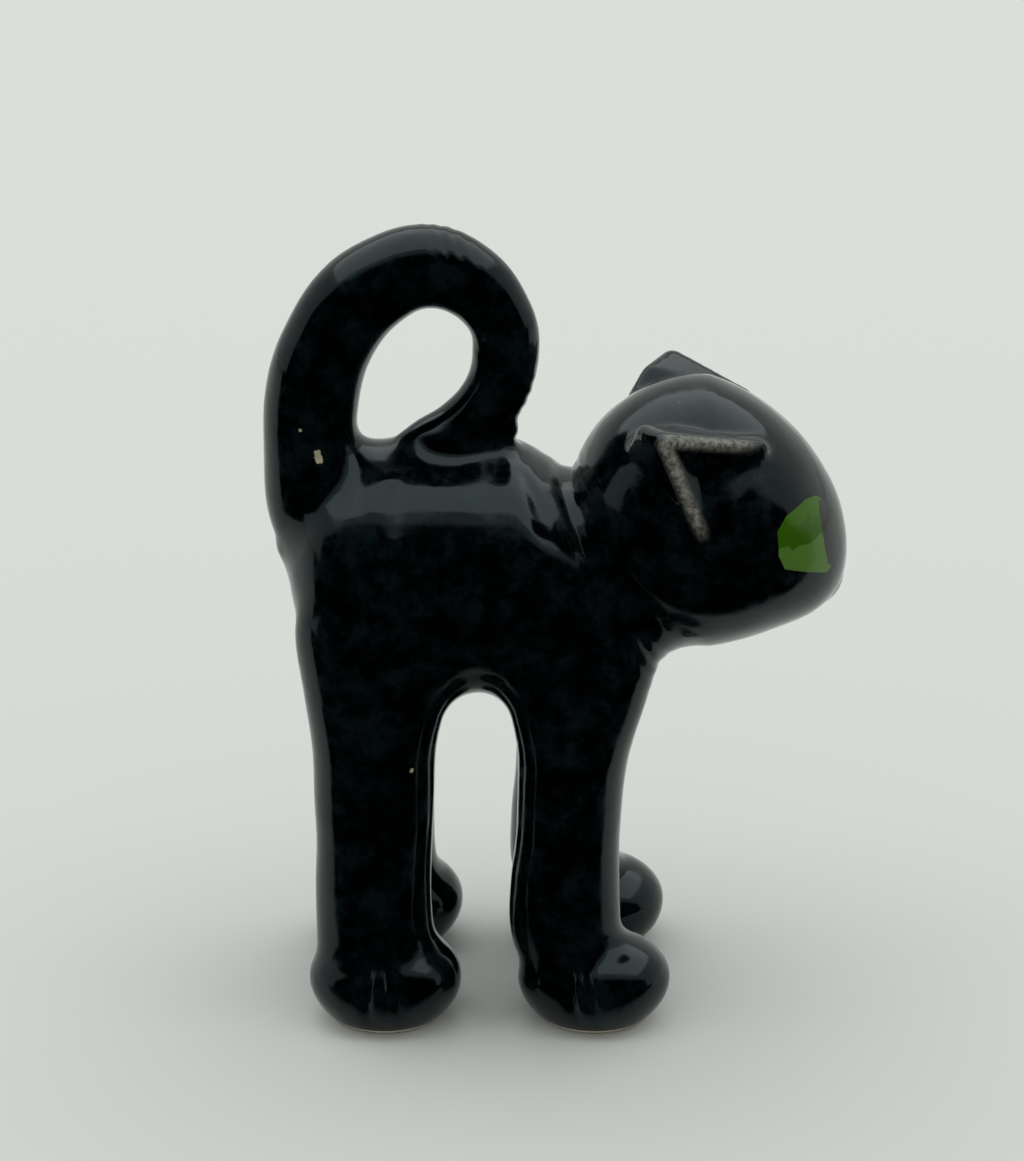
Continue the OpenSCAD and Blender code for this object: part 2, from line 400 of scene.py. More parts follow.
def lute(pieces):
    """One skin round all the pieces of clay."""
    heap = bmesh.new()
    for piece in pieces:
        mesh = to_mesh(piece, "clay")
        heap.from_mesh(mesh)
        bpy.data.meshes.remove(mesh)
    lump = bpy.data.objects.new("lump", to_mesh(heap, "lump"))
    bpy.context.scene.collection.objects.link(lump)
    remesh = lump.modifiers.new("lute", "REMESH")
    remesh.mode = "VOXEL"
    remesh.voxel_size = VOXEL
    depsgraph = bpy.context.evaluated_depsgraph_get()
    skin = bpy.data.meshes.new_from_object(lump.evaluated_get(depsgraph))
    bpy.data.objects.remove(lump)
    return skin


skin = lute(clay)
print("one skin of", len(skin.vertices), "points and", len(skin.polygons), "quads")

# %% [markdown]
# ## Slip in the creases
# The potter brushes slip into every joint and wipes it round with a wet finger. Slip only adds, and it
# gathers where the surface is hollow. So each pass moves only the hollow points and their near
# neighbours, by a share of the way to the average of their neighbours, and never inwards. More passes
# give a wider fillet. The table says how wide the slip was left at each joint, and points in between get
# a blend.

# %% Let slip fill the creases
fillets = [
    # x, distance from the middle plane, z, radius of the slip, in mm
    (-7.0, 8.0, 31.0, 4.6), (-7.0, 0.0, 31.0, 4.4),
    (9.5, 0.0, 37.5, 5.5), (8.0, 6.0, 38.0, 3.6),
    (-3.5, 0.0, 57.5, 3.0), (-8.0, 2.5, 56.5, 2.4), (-18.0, 0.0, 57.0, 3.6),
    (-26.0, 0.0, 46.0, 6.0), (-23.0, 5.0, 48.0, 4.5),
    (3.5, 0.0, 52.0, 1.0), (5.0, 7.5, 45.0, 2.0),
    (-16.3, 8.5, 9.5, 2.6), (3.8, 8.5, 9.5, 2.0),
    (-19.0, 10.0, 37.0, 6.0), (-10.0, 10.0, 37.0, 6.0), (4.0, 9.0, 36.0, 6.0),
    (12.0, 9.0, 60.0, 0.7), (22.5, 3.0, 45.0, 0.6), (24.5, 0.0, 46.5, 0.6),
]
SLIP_ROUNDS = 75
PASSES_EACH = 8
SLIP_STEP = 0.8
HOLLOW_OVER = 1e-5 * VOXEL
NEAR_RINGS = 5


class Skin:
    """The skin's points as one array, with what each pass needs to know about its neighbours."""

    def __init__(self, mesh):
        self.mesh = mesh
        count = len(mesh.vertices)
        flat = np.empty(count * 3)
        mesh.vertices.foreach_get("co", flat)
        self.points = flat.reshape(-1, 3)
        ends = np.empty(len(mesh.edges) * 2, int)
        mesh.edges.foreach_get("vertices", ends)
        ends = ends.reshape(-1, 2)
        self.one = np.concatenate((ends[:, 0], ends[:, 1]))
        self.other = np.concatenate((ends[:, 1], ends[:, 0]))
        order = np.argsort(self.one, kind="stable")
        self.one, self.other = self.one[order], self.other[order]
        self.first = np.searchsorted(self.one, np.arange(count))
        self.valence = np.bincount(self.one, minlength=count)[:, None]

    def pull(self, points):
        """From each point to the average of its neighbours."""
        return np.add.reduceat(points[self.other], self.first, axis=0) / self.valence - points

    def store(self):
        self.mesh.vertices.foreach_set("co", self.points.ravel())
        self.mesh.update()

    def normals(self):
        self.store()
        flat = np.empty(len(self.points) * 3, np.float32)
        self.mesh.vertex_normals.foreach_get("vector", flat)
        return flat.reshape(-1, 3)


def slip_width(points):
    """The slip's radius at each point in mm: a blend of the table, where the nearest rows count most."""
    table = np.array(fillets)
    here = points / MM
    here = np.column_stack((here[:, 0], abs(here[:, 1]), here[:, 2]))
    away = np.linalg.norm(here[:, None, :] - table[None, :, :3], axis=2)
    share = 1 / (away + 0.5) ** 4
    return share @ table[:, 3] / share.sum(axis=1)


def fill_creases(skin):
    """Only the points that are hollow, and their near neighbours, take part in each round."""
    speed = slip_width(skin.points) ** 2
    speed = SLIP_STEP * speed / speed.max()
    for _ in range(SLIP_ROUNDS):
        normals = skin.normals()
        hollow = np.einsum("ij,ij->i", skin.pull(skin.points), normals) > HOLLOW_OVER
        for _ in range(NEAR_RINGS):
            hollow[skin.one[hollow[skin.other]]] = True
        here = np.flatnonzero(hollow)
        links = hollow[skin.one]
        one, other = skin.one[links], skin.other[links]
        first = np.searchsorted(one, here)
        out = normals[here]
        for _ in range(PASSES_EACH):
            around = np.add.reduceat(skin.points[other], first, axis=0) / skin.valence[here]
            pull = around - skin.points[here]
            inwards = np.minimum(np.einsum("ij,ij->i", pull, out), 0)
            skin.points[here] += speed[here][:, None] * (pull - inwards[:, None] * out)


def wipe(skin, passes, tighten=0.5, relax=-0.53):
    """Smooth without shrinking: a step in and a slightly longer step back."""
    for _ in range(passes):
        skin.points += tighten * skin.pull(skin.points)
        skin.points += relax * skin.pull(skin.points)


body = Skin(skin)
wipe(body, 6)
fill_creases(body)
wipe(body, 10)
body.store()
print("slip filled the creases")

# %% [markdown]
# ## Toes, ears and tool marks
# The toes are two grooves pressed into each paw with the edge of a knife, on its outer side. The ears'
# front faces were pressed slightly hollow with a fingertip. The clay is never quite even where fingers
# kneaded it, a tool left shallow strokes where it smoothed the tail's joint, and a wet finger left fine
# lines round the neck. All are pushed into the skin after the slip has dried, so that they stay crisp.

# %% Press the toes, the ears and the tool marks
GROOVE_D = 0.8 * MM
GROOVE_HALF_TURN = 4.5
GROOVE_RISE = 15
GROOVE_FADE = 1.8
ON_PAW = 1.25
EAR_HOLLOW = 0.7 * MM
EAR_FACE_NEAR = 2.5 * MM
EAR_EDGE_OUT = 6.0 * MM
EAR_WORN_R = 0.7 * MM
toe_grooves = {
    # turn from straight outwards where the groove crosses the paw's middle, and how far it slants
    "hind": ((-14, 2), (8, 8)),
    "fore": ((-19, 16), (-3, 14)),
}


def press_toes(points, normals, side, middle, half, grooves):
    """Push the skin in along the grooves of one paw."""
    forward = (points[:, 0] - middle.x) / half.x
    outward = (side * points[:, 1] - PAW_Y) / half.y
    height = points[:, 2] - PAW_Z
    rise = height / np.where(height > 0, PAW_TOP_H, PAW_BASE_H)
    lat = np.degrees(np.arcsin(np.clip(rise, -1, 1)))
    turn = np.degrees(np.arctan2(forward, outward))
    on_paw = np.sqrt(forward ** 2 + outward ** 2 + rise ** 2) < ON_PAW
    fade = np.maximum(0, np.cos(np.radians(GROOVE_FADE * (lat - GROOVE_RISE)))) ** 2 * on_paw
    groove = np.zeros(len(points))
    for start, slant in grooves:
        off = turn - start + slant * lat / 90
        groove = np.maximum(groove, np.exp(-(off / GROOVE_HALF_TURN) ** 2))
    points -= (GROOVE_D * fade * groove)[:, None] * normals


def to_segment(points, a, b):
    """Distance from each point to the line from a to b, and how far along it, 0 to 1."""
    run = b - a
    t = np.clip((points - a) @ run / (run @ run), 0, 1)
    return np.linalg.norm(points - a - t[:, None] * run, axis=1), t


def press_ear(points, normals, side):
    """Hollow one ear's front face, and say how near each point is to its two worn edges, 1 on them."""
    tip, front, low = (np.array(point) for point in ear_points(side)[:3])
    facing = np.cross(front - tip, low - tip)
    facing /= np.linalg.norm(facing)
    if facing @ (tip - np.array(HEAD_AT)) < 0:
        facing = -facing
    frame_axes = np.column_stack((front - tip, low - tip, facing))
    parts = np.linalg.solve(frame_axes, (points - tip).T).T
    share = np.column_stack((parts[:, 0], parts[:, 1], 1 - parts[:, 0] - parts[:, 1]))
    inside = np.clip(share, 0, 1).prod(axis=1) * 27
    near = abs(parts[:, 2]) < EAR_FACE_NEAR
    points -= (EAR_HOLLOW * inside * near)[:, None] * facing
    worn = np.zeros(len(points))
    for foot in (front, low):
        along_edge = (foot - tip) / np.linalg.norm(foot - tip)
        out = (tip + foot) / 2 - np.array(HEAD_AT) + EAR_EDGE_OUT * facing
        out -= (out @ along_edge) * along_edge
        out *= EAR_EDGE_R / np.linalg.norm(out)
        away, t = to_segment(points, tip + out, foot + out)
        worn = np.maximum(worn, np.exp(-(away / EAR_WORN_R) ** 2) * (1 - t ** 6))
    return worn


strokes = [
    # start, end, half-width, depth, in mm; a negative depth is a ridge
    ((-5.6, 2.5, 56.6), (-5.0, 6.2, 54.2), 0.70, 0.24),
    ((-3.2, 3.4, 55.0), (-1.7, 8.3, 51.2), 0.75, 0.18),
    ((-15.3, 5.6, 54.0), (-15.0, 10.0, 49.6), 0.80, 0.26),
    ((-16.9, 5.2, 54.0), (-16.6, 9.8, 49.6), 0.60, 0.12),
    ((-19.2, 5.5, 53.4), (-18.8, 7.8, 51.4), 0.70, 0.14),
    ((-12.6, 2.6, 57.0), (-7.0, 3.0, 57.6), 0.70, -0.15),
    ((-15.3, 5.6, 55.0), (-15.8, 10.8, 45.0), 1.30, 0.35),
    ((-10.5, 5.5, 55.0), (-10.5, 10.8, 45.5), 2.00, -0.25),
    ((-5.5, 4.5, 56.0), (-7.5, 10.8, 46.0), 1.50, 0.35),
    ((-0.8, 5.0, 55.0), (-1.8, 9.6, 47.5), 1.20, 0.25),
    ((-23.2, 4.2, 55.2), (-20.6, 4.6, 56.4), 0.40, 0.20),
    ((-23.0, 4.2, 56.9), (-20.4, 4.5, 58.2), 0.40, 0.20),
]
NECK_LINE_GAP = 1.0
NECK_LINE_D = 0.05 * MM
NECK_LINE_REACH = 1.6
LUMP_D = 0.014 * MM
LUMP_WAVES = 14
LUMP_SEED = 7
LEVEL_BELOW = 2 * MM


def press_strokes(points, normals):
    """The marks of a finger or a tool that smoothed the joints, on both sides."""
    here = points / MM
    here[:, 1] = abs(here[:, 1])  # each mark is on both sides
    for start, end, half_width, depth in strokes:
        away, t = to_segment(here, np.array(start), np.array(end))
        press = depth * MM * np.exp(-(away / half_width) ** 2) * np.sin(math.pi * t)
        points -= press[:, None] * normals


def turn_neck(points, normals):
    """Fine lines round the neck, left by a wet finger that turned there."""
    s = (points / MM - np.array(neck_at)) @ np.array(neck_facing)
    around = np.exp(-(s / NECK_LINE_REACH) ** 2)
    lines = np.cos(2 * math.pi * s / NECK_LINE_GAP)
    points -= (NECK_LINE_D * around * lines)[:, None] * normals


def knead(points, normals):
    """Hand-made clay is never quite even: a sum of slow waves in seeded directions."""
    chance = np.random.default_rng(LUMP_SEED)
    swell = np.zeros(len(points))
    for _ in range(LUMP_WAVES):
        direction = chance.normal(size=3)
        direction /= np.linalg.norm(direction)
        length = chance.uniform(5, 13) * MM
        start = chance.uniform(0, 2 * math.pi)
        swell += np.sin(points @ direction * 2 * math.pi / length + start)
    off_table = np.clip(points[:, 2] / LEVEL_BELOW, 0, 1)
    points += (LUMP_D * swell * off_table)[:, None] * normals


neck_facing = Vector((0.893, 0, 0.449))
neck_at = Vector((5.85, 0, 43.75))
normals = body.normals()
knead(body.points, normals)
press_strokes(body.points, normals)
turn_neck(body.points, normals)
for side in SIDES.values():
    press_toes(body.points, normals, side, hind_paw_mid, hind_paw_half, toe_grooves["hind"])
    press_toes(body.points, normals, side, fore_paw_mid, fore_paw_half, toe_grooves["fore"])
ear_edges = np.maximum(press_ear(body.points, normals, -1), press_ear(body.points, normals, 1))
wipe(body, 2)
body.points[:, 2] = np.maximum(body.points[:, 2], 0.0)
body.store()
skin.attributes.new("ear_edge", "FLOAT", "POINT").data.foreach_set("value", ear_edges.astype(np.float32))
whole = skin.attributes.new("whole_normal", "FLOAT_VECTOR", "POINT")
whole.data.foreach_set("vector", body.normals().ravel())
print("toes, ears and tool marks pressed")

# %% [markdown]
# ## Back into pieces
# The skin is cut where the clay pieces met, so that each piece is its own closed solid. Every point
# remembers the normal that it had on the whole skin, and the pieces are shaded with those, so the glaze
# runs over the cuts without a line, as it does on the real one.

# %% Cut the skin into its pieces
pieces = {}


def part_off(bm, at, facing, within=lambda p: True):
    """Cut bm by a plane where within() holds. Returns what lies beyond as a new bmesh; bm keeps the rest."""
    at, facing = Vector(at) * MM, Vector(facing).normalized()
    faces = [f for f in bm.faces if within(f.calc_center_median() / MM)]
    verts = {v for f in faces for v in f.verts}
    edges = {e for f in faces for e in f.edges}
    bmesh.ops.bisect_plane(bm, geom=list(verts) + list(edges) + faces, dist=1e-7,
                           plane_co=at, plane_no=facing)

    def beyond(f):
        middle = f.calc_center_median()
        return within(middle / MM) and (middle - at).dot(facing) > 0

    taken = bm.copy()
    bmesh.ops.delete(taken, geom=[f for f in taken.faces if not beyond(f)], context="FACES")
    bmesh.ops.delete(bm, geom=[f for f in bm.faces if beyond(f)], context="FACES")
    for half in (taken, bm):
        close(half)
    return taken


def close(bm):
    """Cap every open loop with a flat face that has a crisp rim."""
    rims = [e for e in bm.edges if e.is_boundary]
    for cap in bmesh.ops.holes_fill(bm, edges=rims, sides=0)["faces"]:
        cap.smooth = False
        for edge in cap.edges:
            edge.smooth = False
    bmesh.ops.recalc_face_normals(bm, faces=bm.faces)


def keep(bm, name):
    """Make a piece of the finished model from a bmesh."""
    bmesh.ops.triangulate(bm, faces=[f for f in bm.faces if len(f.verts) > 4])
    mesh = to_mesh(bm, name)
    piece = bpy.data.objects.new(name + "_fired", mesh)
    bpy.context.scene.collection.objects.link(piece)
    remembered = mesh.attributes["whole_normal"].data
    loop_normals = []
    for face in mesh.polygons:
        for corner in face.vertices:
            loop_normals.append(remembered[corner].vector if face.use_smooth else face.normal)
    mesh.normals_split_custom_set([n.normalized() for n in loop_normals])
    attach(piece, "root")
    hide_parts(name)
    pieces[name] = piece
    return piece


rest = bmesh.new()
rest.from_mesh(skin)
for f in rest.faces:
    f.smooth = True
# Where each cut goes, in mm.
LEG_TOP, LEG_FOOT, SOLE_TOP = 29.5, 9.2, sole_top / MM
BELLY_X = -7.5
TAIL_ROOT_Z, TAIL_FRONT_X = 56.3, -0.2
NECK_FRONT, NECK_BACK = 1.0, 1.5
EAR_CUT, EAR_CUT_TURN_BACK, EAR_CUT_RISE = 10.9, 3, 38
MUZZLE_CUT = 11.6
UP, DOWN = (0, 0, 1), (0, 0, -1)
limbs = part_off(rest, (0, 0, LEG_TOP), DOWN)
hind_limbs = part_off(limbs, (BELLY_X, 0, 0), (-1, 0, 0))
for place, pair in (("fore", limbs), ("hind", hind_limbs)):
    left = part_off(pair, (0, 0, 0), (0, 1, 0))
    for side, limb in (("left", left), ("right", pair)):
        foot = part_off(limb, (0, 0, LEG_FOOT), DOWN)
        sole = part_off(foot, (0, 0, SOLE_TOP), DOWN)
        keep(limb, f"{place}_leg_{side}")
        keep(foot, f"{place}_paw_{side}")
        keep(sole, f"{place}_sole_{side}")

tail = part_off(rest, (0, 0, TAIL_ROOT_Z), UP, lambda p: p.x < TAIL_FRONT_X)
keep(tail, "tail")
front = part_off(rest, neck_at + NECK_FRONT * neck_facing, neck_facing)
neck = part_off(rest, neck_at - NECK_BACK * neck_facing, neck_facing)
keep(neck, "neck")
keep(rest, "torso")
head_at_mm = HEAD_AT / MM
for side, sign in SIDES.items():
    out = towards(EAR_TIP_TURN[sign] - EAR_CUT_TURN_BACK, EAR_CUT_RISE, sign)
    keep(part_off(front, head_at_mm + EAR_CUT * out, out), f"ear_{side}")
snout = Vector((0.84, 0, -0.54))
keep(part_off(front, head_at_mm + MUZZLE_CUT * snout, snout), "muzzle")
head_skin = front.copy()
keep(front, "head")
print("cut into", len(pieces), "pieces")

# %% [markdown]
# ## Eyes
# Each eye is painted on the fired glaze with a brush: a green patch wrapped round the front of the face,
# and a black slit on top. Enamel stands a hair proud of the glaze and its edge is soft. So each coat is
# cut from a copy of the head's own skin, round an outline of directions from the middle of the head,
# then lifted a little and thickened inwards.

# %% Paint the eyes
eye_outline = [
    # turn from the nose and rise above level, in degrees, anticlockwise seen from outside the right eye
    (59.5, 7.5), (53.5, 13.2), (47.5, 15.0), (39.0, 17.0), (30.0, 16.2), (25.5, 13.8), (21.8, 6.5),
    (21.2, -1.5), (23.0, -8.5), (26.5, -14.2), (32.0, -16.2), (56.0, -9.6), (59.4, -3.0),
]
pupil_outline = [
    (27.5, 14.4), (23.8, 12.4), (21.2, 6.5), (20.8, -1.5), (22.6, -8.5), (25.6, -13.6), (29.4, -15.0),
    (33.0, -12.5), (35.0, -5.0), (34.6, 3.0), (32.4, 10.5), (30.2, 13.8),
]
ENAMEL_T = 0.3 * MM
SOFT_EDGE = 0.35 * MM
GREEN_LIFT, BLACK_LIFT = 0.10 * MM, 0.17 * MM


def coat(outline, side, lift):
    """A thin closed coat of enamel on the head, inside an outline of directions."""
    spokes = [towards(turn, rise, side) for turn, rise in outline]
    facing = sum(spokes, Vector()).normalized()
    bm = head_skin.copy()
    bmesh.ops.delete(bm, geom=[f for f in bm.faces if not f.smooth], context="FACES")
    planes = []
    for one, other in zip(spokes, spokes[1:] + spokes[:1]):
        away = one.cross(other).normalized()
        if away.dot(facing) > 0:
            away = -away
        planes.append(away)
        bmesh.ops.bisect_plane(bm, geom=bm.verts[:] + bm.edges[:] + bm.faces[:], dist=1e-7,
                               plane_co=HEAD_AT, plane_no=away, clear_outer=True)
    far = [v for v in bm.verts if (v.co - HEAD_AT).dot(facing) < 0]
    bmesh.ops.delete(bm, geom=far, context="VERTS")
    bmesh.ops.subdivide_edges(bm, edges=bm.edges[:], cuts=1, use_grid_fill=True)
    layer = bm.verts.layers.float_vector["whole_normal"]
    for v in bm.verts:
        normal = v[layer].normalized()
        to_edge = min(-(v.co - HEAD_AT).dot(away) for away in planes)
        rise = min(1.0, max(0.0, to_edge) / SOFT_EDGE)
        v.co += lift * math.sin(rise * math.pi / 2) * normal
    coat_faces = bm.faces[:]
    walls = bmesh.ops.extrude_face_region(bm, geom=coat_faces, use_keep_orig=True)["geom"]
    inner = [v for v in walls if isinstance(v, bmesh.types.BMVert)]
    for v in inner:
        v.co -= ENAMEL_T * v[layer].normalized()
    inner_set = set(inner)
    for f in bm.faces:
        if any(v in inner_set for v in f.verts):
            f.smooth = False
    bmesh.ops.recalc_face_normals(bm, faces=bm.faces)
    return bm


for side, sign in SIDES.items():
    keep(coat(eye_outline, sign, GREEN_LIFT), f"eye_{side}")
    keep(coat(pupil_outline, sign, BLACK_LIFT), f"pupil_{side}")
head_skin.free()
print("eyes painted;", len(pieces), "pieces")

# %% [markdown]
# ## Finishes
# Colours are written as sRGB hex, which is how a paint chart gives them, and one function turns them to
# the linear values that the shader wants. Another adds a node with its settings and links. Patterns read
# Object coordinates, turned to millimetres first, so that a noise's scale is one over a real size. A
# Map Range node's inputs 1 and 2 are the range that comes in, and 3 and 4 the range that goes out. A
# Mix node of colours takes its share at input 0 and the two colours at 6 and 7.

# %% Helpers for materials
MATERIALS = {}


def linear(code):
    """An sRGB hex colour as linear RGBA."""
    parts = [int(code[i:i + 2], 16) / 255 for i in (1, 3, 5)]
    return (*[c / 12.92 if c <= 0.04045 else ((c + 0.055) / 1.055) ** 2.4 for c in parts], 1.0)


def add(tree, kind, inputs=None, **settings):
    """A shader node with its settings, and its inputs, by name or number, linked or set."""
    made = tree.nodes.new("ShaderNode" + kind)
    for name, value in settings.items():
        setattr(made, name, value)
    for name, value in (inputs or {}).items():
        if isinstance(value, bpy.types.NodeSocket):
            tree.links.new(value, made.inputs[name])
        else:
            made.inputs[name].default_value = value
    return made


def new_material(name):
    """An empty material, its tree, and a socket that gives the place in millimetres."""
    material = bpy.data.materials.new(name)
    material.use_nodes = True
    tree = material.node_tree
    tree.nodes.clear()
    spot = add(tree, "TexCoord").outputs["Object"]
    in_mm = add(tree, "VectorMath", {0: spot, 1: (1000, 1000, 1000)}, operation="MULTIPLY").outputs[0]
    return material, tree, in_mm


# %% [markdown]
# ## Black glaze
# A thick iron-black glaze, gloss. Glass on top of an almost black body: what the eye sees is nearly all
# reflection. Fired glaze is never quite flat, so it has a faint orange-peel wave a few millimetres long.
# The iron clouds a little blue-green where it pools. On sharp edges the glaze runs thin and breaks to a
# rough, pale grey-brown, which is why the ears' edges show as pale lines. A few small chips and specks
# bare the cream clay. The IOR starts from glass, about 1.5, and is matched a little lower, because the
# rims of this glaze are dimmer than plain glass would give.

# %% Clouds and worn edges in the glaze
CLOUD, STREAK, PEEL, RAGGED = 2.6, 0.5, 2.4, 0.6
SMOOTH = {"interpolation_type": "SMOOTHSTEP"}
GLAZE_DARK, GLAZE_CLOUD = linear("#010203"), linear("#081114")
BROKEN_EDGE = linear("#8a877d")
glaze, tree, in_mm = new_material("iron_black_gloss_glaze")
mottle = add(tree, "TexNoise", {"Vector": in_mm, "Scale": 1 / CLOUD, "Detail": 5.0,
                                "Roughness": 0.7}).outputs["Fac"]
clouds = add(tree, "MapRange", {0: mottle, 1: 0.42, 2: 0.68}, **SMOOTH).outputs[0]
tone = add(tree, "Mix", {0: clouds, 6: GLAZE_DARK, 7: GLAZE_CLOUD}, data_type="RGBA").outputs[2]
edge = add(tree, "Attribute", attribute_name="ear_edge").outputs["Fac"]
grit = add(tree, "TexNoise", {"Vector": in_mm, "Scale": 1 / STREAK, "Detail": 4.0,
                              "Roughness": 0.65}).outputs["Fac"]
streaks = add(tree, "MapRange", {0: grit, 1: 0.34, 2: 0.68, 3: 0.25, 4: 1.0}, **SMOOTH).outputs[0]
worn = add(tree, "MapRange", {0: edge, 1: 0.05, 2: 1.0, 3: 0.0, 4: 0.85}, **SMOOTH).outputs[0]
broken = add(tree, "Math", {0: worn, 1: streaks}, operation="MULTIPLY").outputs[0]
tone = add(tree, "Mix", {0: broken, 6: tone, 7: BROKEN_EDGE}, data_type="RGBA").outputs[2]
print("glaze clouds are about", CLOUD, "mm across")

# %% Chips in the glaze
CHIP_WOBBLE = 0.06
CHIP_COLOUR = linear("#9a927c")
chips = [
    # place and radius in mm: by the tail's root a long one in three and a speck, then one on the hind
    # leg and one on the crown
    ((-22.2, -4.2, 56.3), 0.34), ((-22.1, -4.2, 55.9), 0.36), ((-22.0, -4.2, 55.5), 0.34),
    ((-23.7, -4.3, 58.5), 0.16), ((-13.5, -11.1, 27.0), 0.22), ((11.4, -3.6, 60.9), 0.12),
]


def chip(tree, in_mm, place, radius):
    """1 inside a chip and 0 outside it, with a ragged edge."""
    away = add(tree, "VectorMath", {0: in_mm, 1: place}, operation="DISTANCE").outputs["Value"]
    crumb = add(tree, "TexNoise", {"Vector": in_mm, "Scale": 1 / (radius * RAGGED), "Detail": 2.0,
                                   "Roughness": 0.5}).outputs["Fac"]
    ragged = add(tree, "MapRange", {0: crumb, 1: 0.3, 2: 0.7, 3: -CHIP_WOBBLE, 4: CHIP_WOBBLE},
                 **SMOOTH).outputs[0]
    away = add(tree, "Math", {0: away, 1: ragged}, operation="ADD").outputs[0]
    return add(tree, "MapRange", {0: away, 1: radius * 0.85, 2: radius * 1.15, 3: 1.0, 4: 0.0},
               **SMOOTH).outputs[0]


chipped = 0.0
for place, radius in chips:
    chipped = add(tree, "Math", {0: chipped, 1: chip(tree, in_mm, place, radius)},
                  operation="MAXIMUM").outputs[0]
tone = add(tree, "Mix", {0: chipped, 6: tone, 7: CHIP_COLOUR}, data_type="RGBA").outputs[2]
print(len(chips), "chips and specks")

# %% Gloss of the glaze
cloudy_shine = add(tree, "MapRange", {0: clouds, 1: 0.0, 2: 1.0, 3: 0.1, 4: 0.2}, **SMOOTH).outputs[0]
bare = add(tree, "Math", {0: broken, 1: chipped}, operation="MAXIMUM").outputs[0]
dull = add(tree, "Math", {0: bare, 1: 0.5}, operation="MULTIPLY").outputs[0]
shine = add(tree, "Math", {0: cloudy_shine, 1: dull}, operation="ADD").outputs[0]
peel = add(tree, "TexNoise", {"Vector": in_mm, "Scale": 1 / PEEL, "Detail": 1.0,
                              "Roughness": 0.5}).outputs["Fac"]
grain = add(tree, "Math", {0: broken, 1: 0.5}, operation="MULTIPLY").outputs[0]
relief = add(tree, "Math", {0: peel, 1: grain}, operation="ADD").outputs[0]
rough = add(tree, "Bump", {"Height": relief, "Strength": 0.2,
                           "Distance": 0.2 * MM}).outputs["Normal"]
surface = add(tree, "BsdfPrincipled", {"Base Color": tone, "Roughness": shine, "IOR": 1.42,
                                       "Specular Tint": linear("#c4dce2"), "Normal": rough})
add(tree, "OutputMaterial", {"Surface": surface.outputs[0]})
MATERIALS["black_glaze"] = glaze
print("mixed", glaze.name)

# %% [markdown]
# ## Enamels and bare clay
# The eyes are overglaze enamel: pigment in a soft glass, laid on and fired again. Its green is painted
# in three bands by height with a wavy edge: the middle band is the enamel's own olive, and the lighter
# low and top bands are painted reflection. Soft enamel mirrors less than hard glaze does, so the green
# has a lower IOR than glass. The undersides of the paws were wiped clean, because glaze would glue them
# to the kiln shelf, so the cream stoneware shows there, matt.

# %% Green and black enamel
BAND_EDGE_WOBBLE = 1.2
GREEN_LOW_REFLECTION, GREEN_MIDDLE, GREEN_TOP_REFLECTION = linear("#466726"), linear("#2c4f00"), linear("#345902")
green, tree, in_mm = new_material("olive_overglaze_enamel")
split = add(tree, "SeparateXYZ", {0: in_mm})
band_edge_noise = add(tree, "TexNoise", {"Vector": in_mm, "Scale": 1 / BAND_EDGE_WOBBLE, "Detail": 2.0,
                               "Roughness": 0.5}).outputs["Fac"]
band_edge_wobble = add(tree, "MapRange", {0: band_edge_noise, 1: 0.3, 2: 0.7, 3: -0.5, 4: 0.5}, **SMOOTH).outputs[0]
height = add(tree, "Math", {0: split.outputs["Z"], 1: band_edge_wobble}, operation="ADD").outputs[0]
# Painted reflection: below the low edge and above the top edge the green is lighter, standing in for
# reflected light; the middle band is the enamel's own olive, and the noise only makes the band edges wavy.
above_low = add(tree, "MapRange", {0: height, 1: 48.9, 2: 49.2}, **SMOOTH).outputs[0]
above_middle = add(tree, "MapRange", {0: height, 1: 51.0, 2: 51.4}, **SMOOTH).outputs[0]
tone = add(tree, "Mix", {0: above_low, 6: GREEN_LOW_REFLECTION, 7: GREEN_MIDDLE}, data_type="RGBA").outputs[2]
tone = add(tree, "Mix", {0: above_middle, 6: tone, 7: GREEN_TOP_REFLECTION}, data_type="RGBA").outputs[2]
surface = add(tree, "BsdfPrincipled", {"Base Color": tone, "Roughness": 0.2, "IOR": 1.36})
add(tree, "OutputMaterial", {"Surface": surface.outputs[0]})
MATERIALS["green_enamel"] = green

slit, tree, in_mm = new_material("black_overglaze_enamel")
surface = add(tree, "BsdfPrincipled", {"Base Color": linear("#0b0c0d"), "Roughness": 0.12,
                                       "IOR": 1.5})
add(tree, "OutputMaterial", {"Surface": surface.outputs[0]})
MATERIALS["black_enamel"] = slit
print("mixed", green.name, "and", slit.name)

# %% Bare clay
CLAY_GRAIN = 0.25
clay_body, tree, in_mm = new_material("bare_cream_stoneware")
grain = add(tree, "TexNoise", {"Vector": in_mm, "Scale": 1 / CLAY_GRAIN, "Detail": 4.0,
                               "Roughness": 0.5}).outputs["Fac"]
tone = add(tree, "Mix", {0: grain, 6: linear("#b9b2a0"), 7: linear("#d6d0bf")},
           data_type="RGBA").outputs[2]
rough = add(tree, "Bump", {"Height": grain, "Strength": 0.5,
                           "Distance": 0.05 * MM}).outputs["Normal"]
surface = add(tree, "BsdfPrincipled", {"Base Color": tone, "Roughness": 0.85, "Normal": rough})
add(tree, "OutputMaterial", {"Surface": surface.outputs[0]})
MATERIALS["bare_clay"] = clay_body

slot_of = {part["node"]: part["material_slot"] for part in frame["record"]["subparts"]}
for name, piece in pieces.items():
    piece.data.materials.clear()
    piece.data.materials.append(MATERIALS[slot_of[name]])
print("finishes:", ", ".join(m.name for m in MATERIALS.values()))

# %% [markdown]
# ## Floor, light and camera
# Black gloss is lit by what stands round it. A pale sweep and a pale sky give the grey rims, a wide soft
# light above gives the grey sheen on the crown and back, and a dark room behind the camera keeps the
# cat's side black. The dark room is an L-shaped black sheet that only reflections can see, and it fades
# out at its near edge and its top, so that no hard line shows in the glaze.

